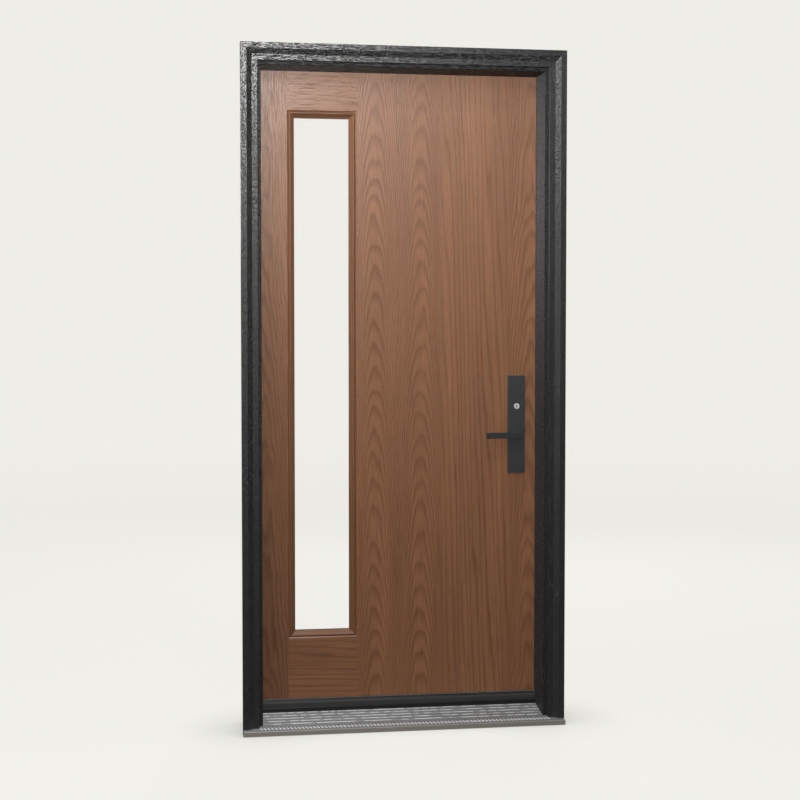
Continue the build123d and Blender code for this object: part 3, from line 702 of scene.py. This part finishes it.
def set_tree_inputs(modifier, values):
    """Sets a nodes modifier's inputs by their sockets' identifiers."""
    for item in modifier.node_group.interface.items_tree:
        if item.item_type == "SOCKET" and item.in_out == "INPUT" and item.name in values:
            modifier[item.identifier] = values[item.name]


def baked_piece(name, carrier, tree, values, finish):
    """Runs a node tree on a carrier mesh and keeps the outcome as a plain mesh piece."""
    modifier = carrier.modifiers.new("layout", "NODES")
    modifier.node_group = tree
    set_tree_inputs(modifier, values)
    carrier.data.materials.append(finish)
    bpy.context.view_layer.update()
    shown = carrier.evaluated_get(bpy.context.evaluated_depsgraph_get())
    mesh = bpy.data.meshes.new_from_object(shown)
    bpy.data.objects.remove(carrier)
    piece = bpy.data.objects.new(name, mesh)
    bpy.context.scene.collection.objects.link(piece)
    dress_piece(piece, finish)
    if not mesh.polygons:
        raise RuntimeError(f"{name} came out empty")
    return piece


def tree_with(name, sockets):
    """A geometry node tree with a geometry inlet and outlet and named inputs."""
    tree = bpy.data.node_groups.new(name, "GeometryNodeTree")
    tree.interface.new_socket(name="Geometry", in_out="INPUT", socket_type="NodeSocketGeometry")
    for label, kind, default in sockets:
        socket = tree.interface.new_socket(name=label, in_out="INPUT", socket_type=kind)
        if default is not None:
            socket.default_value = default
    tree.interface.new_socket(name="Geometry", in_out="OUTPUT", socket_type="NodeSocketGeometry")
    weave = Weave(tree)
    return tree, weave, weave.make("NodeGroupInput").outputs, weave.make("NodeGroupOutput")


def scatter_tree(finish, shape):
    """Puts a copy of a shape on every point of the carrier, turned by the point's own vector."""
    tree, weave, inlet, outlet = tree_with(
        "copies_on_points",
        (("Size", "NodeSocketVector", (1.0, 1.0, 1.0)), ("Shape", "NodeSocketObject", None)),
    )
    turn = weave.make("GeometryNodeInputNamedAttribute", {"Name": "turn"}, data_type="FLOAT_VECTOR").outputs[0]
    source = weave.make("GeometryNodeObjectInfo", {"Object": inlet["Shape"]}).outputs["Geometry"]
    copies = weave.make(
        "GeometryNodeInstanceOnPoints",
        {"Points": inlet["Geometry"], "Instance": source, "Rotation": turn, "Scale": inlet["Size"]},
    ).outputs[0]
    solid = weave.make("GeometryNodeRealizeInstances", {0: copies}).outputs[0]
    done = weave.make("GeometryNodeSetMaterial", {"Geometry": solid, "Material": finish}).outputs[0]
    weave.tree.links.new(done, outlet.inputs[0])
    return tree


def points_mesh(name, places, turns):
    """A mesh of loose points, each with a turn in radians."""
    mesh = bpy.data.meshes.new(name)
    mesh.from_pydata([tuple(place) for place in places], [], [])
    layer = mesh.attributes.new("turn", "FLOAT_VECTOR", "POINT")
    for number, turn in enumerate(turns):
        layer.data[number].vector = turn
    piece = bpy.data.objects.new(name, mesh)
    bpy.context.scene.collection.objects.link(piece)
    return piece


def screw_shape(looks):
    """A domed countersunk head with a cross slot, its crown towards +Z and its rim at Z zero."""
    rim, rise, half = looks.head_radius, looks.head_rise, looks.slot_width / 2
    arm, deep = rim * 0.55, rise + 0.0009
    work = bmesh.new()
    outline = []
    for quarter in range(4):
        base = quarter * math.pi / 2
        corners = ((half, half), (half, arm), (-half, arm))
        for place in corners:
            outline.append(Vector((
                place[0] * math.cos(base) - place[1] * math.sin(base),
                place[0] * math.sin(base) + place[1] * math.cos(base),
                0.0,
            )))
    angles = [math.atan2(point.y, point.x) for point in outline]

    def ring(radius, height):
        return [work.verts.new((radius * math.cos(angle), radius * math.sin(angle), height)) for angle in angles]

    foot = ring(rim, -0.0003)
    edge = ring(rim * 0.96, rise * 0.35)
    dome = ring(rim * 0.74, rise * 0.85)
    lip = [work.verts.new((point.x, point.y, rise)) for point in outline]
    pit = [work.verts.new((point.x * 0.92, point.y * 0.92, rise - deep)) for point in outline]
    for lower, upper in ((foot, edge), (edge, dome), (dome, lip), (lip, pit)):
        for number in range(len(angles)):
            following = (number + 1) % len(angles)
            work.faces.new((lower[number], lower[following], upper[following], upper[number]))
    work.faces.new(pit)
    work.faces.new(list(reversed(foot)))
    bmesh.ops.recalc_face_normals(work, faces=work.faces)
    mesh = bpy.data.meshes.new("screw_shape")
    work.to_mesh(mesh)
    work.free()
    shape = bpy.data.objects.new("screw_shape", mesh)
    bpy.context.scene.collection.objects.link(shape)
    return shape


def stroke_shape(looks):
    """One grip stroke: a low bar with sloping sides and ends, along X, its foot at Z zero."""
    length, width, height = looks.stroke_length / 2, looks.stroke_width / 2, looks.stroke_height
    sunk = -0.0003
    low = [(-length, -width, sunk), (length, -width, sunk), (length, width, sunk), (-length, width, sunk)]
    high = [
        (-length * 0.8, -width * 0.45, height), (length * 0.8, -width * 0.45, height),
        (length * 0.8, width * 0.45, height), (-length * 0.8, width * 0.45, height),
    ]
    faces = [(0, 3, 2, 1), (4, 5, 6, 7), (0, 1, 5, 4), (1, 2, 6, 5), (2, 3, 7, 6), (3, 0, 4, 7)]
    return plain_mesh("stroke_shape", low + high, faces)


# ------------------------------------------------------------------ operators

class DOOR_OT_dress_leaf(bpy.types.Operator):
    """Stain the skins and the lite's frame, and finish the hidden wood and foam"""

    bl_idname = "door.dress_leaf"
    bl_label = "Dress Leaf"

    def execute(self, context):
        stain = context.scene.door_stain
        group = wood_figure_group(stain)
        dress(SKINS, wood_finish("stained_skin", stain, group, True))
        dress(LITE_FRAMES, wood_finish("stained_lite_frame", stain, group, False))
        dress(INNER_WOOD, bare_wood_finish("laminated_pine"))
        dress(("foam_core",), grainy_finish("rigid_foam", (0.80, 0.72, 0.46), 0.85, 900.0, 0.0002))
        dress(("door_sweep",), grainy_finish("sweep_vinyl", (0.030, 0.030, 0.031), 0.55, 700.0, 0.00005))
        return {"FINISHED"}


class DOOR_OT_dress_glass(bpy.types.Operator):
    """Give the panes clear glass and the spacer its dark metal"""

    bl_idname = "door.dress_glass"
    bl_label = "Dress Glass"

    def execute(self, context):
        dress(PANES, glass_finish("clear_float_glass"))
        dress(("glass_spacer",), metal_finish("spacer_bar", (0.10, 0.10, 0.10), 0.45, 0.6, (20.0, 700.0, 20.0)))
        return {"FINISHED"}


class DOOR_OT_dress_frame(bpy.types.Operator):
    """Coat the jambs and brickmould, and finish the sill, threshold and seals"""

    bl_idname = "door.dress_frame"
    bl_label = "Dress Frame"

    def execute(self, context):
        looks = context.scene.door_frame
        dress(JAMBS, frame_finish("charcoal_jamb", looks, True, True))
        dress(("head_jamb",), frame_finish("charcoal_head_jamb", looks, False, True))
        dress(MOULDINGS, frame_finish("charcoal_moulding", looks, True, False))
        dress(("brickmould_head",), frame_finish("charcoal_head_moulding", looks, False, False))
        dress(("sill_deck",), deck_finish("deck_aluminium", looks))
        dress(("sill_base",), grainy_finish("sill_composite", (0.17, 0.16, 0.15), 0.7, 500.0, 0.0002))
        riser, cap = scaled(looks.threshold, 0.5), scaled(looks.threshold, 1.1)
        dress(("threshold_riser",), metal_finish("threshold_metal", riser, 0.30, 0.2, (5.0, 800.0, 800.0)))
        dress(("threshold_cap",), grainy_finish("cap_composite", cap, 0.34, 600.0, 0.00008))
        dress(STRIPS, grainy_finish("foam_seal", (0.012, 0.012, 0.0125), 0.75, 800.0, 0.0001))
        return {"FINISHED"}


class DOOR_OT_dress_hardware(bpy.types.Operator):
    """Finish the lock plates, levers, cylinder, bolts and hinges"""

    bl_idname = "door.dress_hardware"
    bl_label = "Dress Hardware"

    def execute(self, context):
        looks = context.scene.door_metal
        cast, drawn = (900.0, 900.0, 900.0), (60.0, 60.0, 900.0)
        lever_black, hinge_steel = scaled(looks.black, 0.95), scaled(looks.steel, 0.35)
        plate_face, plug_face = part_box("outside_plate")[0][1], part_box("key_plug")[0][1]
        dress(PLATES, metal_finish("matt_black_plate", looks.black, 0.50, 0.0, cast, 0.10, 0.00004))
        dress(LEVERS, metal_finish("matt_black_lever", lever_black, 0.42, 0.0, cast, 0.10, 0.00004))
        dress(("cylinder_housing",), cylinder_finish("satin_nickel", looks.nickel, plate_face))
        dress(("key_plug",), cylinder_finish("keyed_nickel", looks.nickel, plug_face))
        dress(BOLTS, metal_finish("satin_steel", looks.steel, 0.34, 1.0, drawn, 0.10))
        dress(HINGES, metal_finish("hinge_steel", hinge_steel, 0.38, 0.9, drawn, 0.12))
        return {"FINISHED"}


class DOOR_OT_add_deck_grip(bpy.types.Operator):
    """Lay the rows of slanted grip strokes on the deck's front band"""

    bl_idname = "door.add_deck_grip"
    bl_label = "Add Deck Grip"

    def execute(self, context):
        looks = context.scene.door_grip
        places, turns = [], []
        for row in range(looks.rows):
            depth = looks.front + (row + 0.5) * (looks.back - looks.front) / looks.rows
            height = DECK_HEIGHT + math.tan(DECK_SLOPE) * depth
            odd = row % 2
            count = int(2 * GRIP_REACH / looks.pitch)
            for number in range(count + 1):
                along = -GRIP_REACH + number * looks.pitch + (0.5 * looks.pitch if odd else 0.0)
                if abs(along) <= GRIP_REACH:
                    places.append((along, depth, height))
                    turns.append((DECK_SLOPE, 0.0, looks.slant if odd else -looks.slant))
        carrier = points_mesh("grip_points", places, turns)
        shape = stroke_shape(looks)
        finish = NODES["sill_deck"].material_slots[0].material
        tree = scatter_tree(finish, shape)
        piece = baked_piece("deck_grip", carrier, tree, {"Shape": shape, "Size": (1.0, 1.0, 1.0)}, finish)
        bpy.data.objects.remove(shape)
        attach(piece, "frame")
        return {"FINISHED"}


class DOOR_OT_add_screws(bpy.types.Operator):
    """Drive the hinge and strike plate screws"""

    bl_idname = "door.add_screws"
    bl_label = "Add Screws"

    def execute(self, context):
        looks = context.scene.door_screws
        finish = NODES["hinge_low_leaf"].material_slots[0].material
        shape = screw_shape(looks)
        right, left = math.pi / 2, -math.pi / 2
        on_frame, on_leaf = [], []
        for level in HINGE_LEVELS:
            for depth, lift in HINGE_HOLES:
                on_frame.append(((JAMB_HINGE_FACE, INDOOR_FACE - depth, level + lift), (0.0, right, 0.3)))
                on_leaf.append(((LEAF_HINGE_FACE, INDOOR_FACE - depth, level + lift), (0.0, left, 0.7)))
        low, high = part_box("strike_plate")
        for end in (low[2] + STRIKE_INSET, high[2] - STRIKE_INSET):
            on_frame.append(((low[0], (low[1] + high[1]) / 2, end), (0.0, left, 0.5)))
        for body, rows in (("frame", on_frame), ("leaf", on_leaf)):
            carrier = points_mesh(f"screw_points_{body}", [row[0] for row in rows], [row[1] for row in rows])
            tree = scatter_tree(finish, shape)
            piece = baked_piece(f"screws_{body}", carrier, tree, {"Shape": shape, "Size": (1.0, 1.0, 1.0)}, finish)
            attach(piece, body)
        bpy.data.objects.remove(shape)
        return {"FINISHED"}


class DOOR_OT_set_stage(bpy.types.Operator):
    """Set the pale floor, the backdrop, the softboxes and the camera"""

    bl_idname = "door.set_stage"
    bl_label = "Set Stage"

    def execute(self, context):
        scene, looks = context.scene, context.scene.door_stage
        scene.view_settings.view_transform = "Standard"
        self.set_world(scene, looks)
        self.set_floor(looks)
        lights = {}
        for name, setting, place, aim, width, height, shadows in SOFTBOXES:
            lights[name] = self.set_light(name, getattr(looks, setting), place, aim, width, height, shadows)
        lights["veil_softbox"].visible_diffuse = False
        lights["veil_softbox"].data.color = (1.0, 0.975, 0.925)
        lights["low_bounce"].data.spread = math.radians(50.0)
        lights["back_rim"].visible_diffuse = False
        lights["back_rim"].visible_transmission = False
        lights["back_softbox"].visible_transmission = False
        self.set_camera(scene, looks)
        return {"FINISHED"}

    def set_camera(self, scene, looks):
        """The camera at the photograph's viewing angle."""
        sight = bpy.data.cameras.new("door_camera")
        sight.sensor_fit = "HORIZONTAL"
        sight.sensor_width = 36.0
        sight.lens = looks.camera_lens
        sight.clip_end = 200.0
        camera = bpy.data.objects.new("door_camera", sight)
        camera.location = looks.camera_place
        camera.rotation_euler = (math.pi / 2 - looks.camera_pitch, 0.0, -looks.camera_yaw)
        scene.collection.objects.link(camera)
        scene.camera = camera

    def set_world(self, scene, looks):
        """Pale backdrop, with dimmer light from all round."""
        world = bpy.data.worlds.new("studio")
        world.use_nodes = True
        world.node_tree.nodes.clear()
        weave = Weave(world.node_tree)
        shown = weave.make("ShaderNodeBackground", {"Color": tint(looks.backdrop), "Strength": 1.0}).outputs[0]
        soft = weave.make("ShaderNodeBackground", {"Color": tint((1.0, 1.0, 1.0)), "Strength": looks.ambient})
        mixed = weave.make("ShaderNodeMixShader", {0: weave.seen_directly(), 1: soft.outputs[0], 2: shown}).outputs[0]
        out = weave.make("ShaderNodeOutputWorld")
        world.node_tree.links.new(mixed, out.inputs[0])
        scene.world = world

    def set_floor(self, looks):
        """A pale floor under the sill, which runs out to the horizon, with a painted shadow close to the sill."""
        half = 90.0
        corners = [(-half, -half, 0.0), (half, -half, 0.0), (half, half, 0.0), (-half, half, 0.0)]
        floor = plain_mesh("studio_floor", corners, [(0, 1, 2, 3)])
        finish = bpy.data.materials.new("pale_floor")
        finish.use_nodes = True
        finish.node_tree.nodes.clear()
        weave = Weave(finish.node_tree)
        place = weave.make("ShaderNodeTexCoord").outputs["Object"]
        reach = weave.make("ShaderNodeVectorMath", {0: place}, operation="LENGTH").outputs["Value"]
        # Painted shadow: the floor's glow is dimmed by ambient occlusion close to the sill and the door.
        painted_shadow_ao = weave.make("ShaderNodeAmbientOcclusion", {"Distance": 0.26}, samples=8).outputs["AO"]
        tone = weave.times(weave.span(reach, 1.0, 12.0, 0.93, 0.995), weave.span(painted_shadow_ao, 0.0, 1.0, 0.38, 1.0))
        glow = weave.times(weave.seen_directly(), tone)
        matte = weave.make("ShaderNodeBsdfDiffuse", {"Color": tint((0.10, 0.10, 0.098))}).outputs[0]
        pale = weave.make("ShaderNodeEmission", {"Color": tint(looks.backdrop), "Strength": glow}).outputs[0]
        both = weave.make("ShaderNodeAddShader", {0: matte, 1: pale}).outputs[0]
        out = weave.make("ShaderNodeOutputMaterial")
        finish.node_tree.links.new(both, out.inputs[0])
        dress_piece(floor, finish)

    def set_light(self, name, power, place, aim, width, height, shadows):
        """One rectangular softbox that faces its aim, with or without shadows."""
        lamp = bpy.data.lights.new(name, "AREA")
        lamp.use_shadow = shadows
        lamp.shape = "RECTANGLE"
        lamp.size, lamp.size_y = width, height
        lamp.energy = power
        holder = bpy.data.objects.new(name, lamp)
        holder.location = place
        holder.rotation_euler = (Vector(aim) - Vector(place)).to_track_quat("-Z", "Y").to_euler()
        holder.visible_camera = False
        bpy.context.scene.collection.objects.link(holder)
        return holder


class DOOR_PT_looks(bpy.types.Panel):
    """Sidebar panel that lists the door's operators and settings"""

    bl_idname = "DOOR_PT_looks"
    bl_label = "Entrance Door"
    bl_space_type = "VIEW_3D"
    bl_region_type = "UI"
    bl_category = "Door"

    def draw(self, context):
        for operator in OPERATORS:
            self.layout.operator(operator.bl_idname)
        for attribute, group in SETTINGS:
            box = self.layout.box()
            box.label(text=group.__doc__)
            for key in group.__annotations__:
                box.prop(getattr(context.scene, attribute), key)


OPERATORS = (
    DOOR_OT_dress_leaf,
    DOOR_OT_dress_glass,
    DOOR_OT_dress_frame,
    DOOR_OT_dress_hardware,
    DOOR_OT_add_deck_grip,
    DOOR_OT_add_screws,
    DOOR_OT_set_stage,
)
SETTINGS = (
    ("door_stain", DoorStainSettings),
    ("door_frame", DoorFrameSettings),
    ("door_metal", DoorMetalSettings),
    ("door_grip", DoorGripSettings),
    ("door_screws", DoorScrewSettings),
    ("door_stage", DoorStageSettings),
)


def register():
    """Registers the settings, the operators and the panel."""
    for attribute, group in SETTINGS:
        bpy.utils.register_class(group)
        setattr(bpy.types.Scene, attribute, bpy.props.PointerProperty(type=group))
    for operator in OPERATORS:
        bpy.utils.register_class(operator)
    bpy.utils.register_class(DOOR_PT_looks)


def unregister():
    """Takes everything off again."""
    bpy.utils.unregister_class(DOOR_PT_looks)
    for operator in reversed(OPERATORS):
        bpy.utils.unregister_class(operator)
    for attribute, group in reversed(SETTINGS):
        delattr(bpy.types.Scene, attribute)
        bpy.utils.unregister_class(group)


def main():
    """Registers the add-on, then dresses the door and sets the stage."""
    register()
    for operator in OPERATORS:
        group, name = operator.bl_idname.split(".")
        getattr(getattr(bpy.ops, group), name)()


if __name__ == "__main__":
    main()
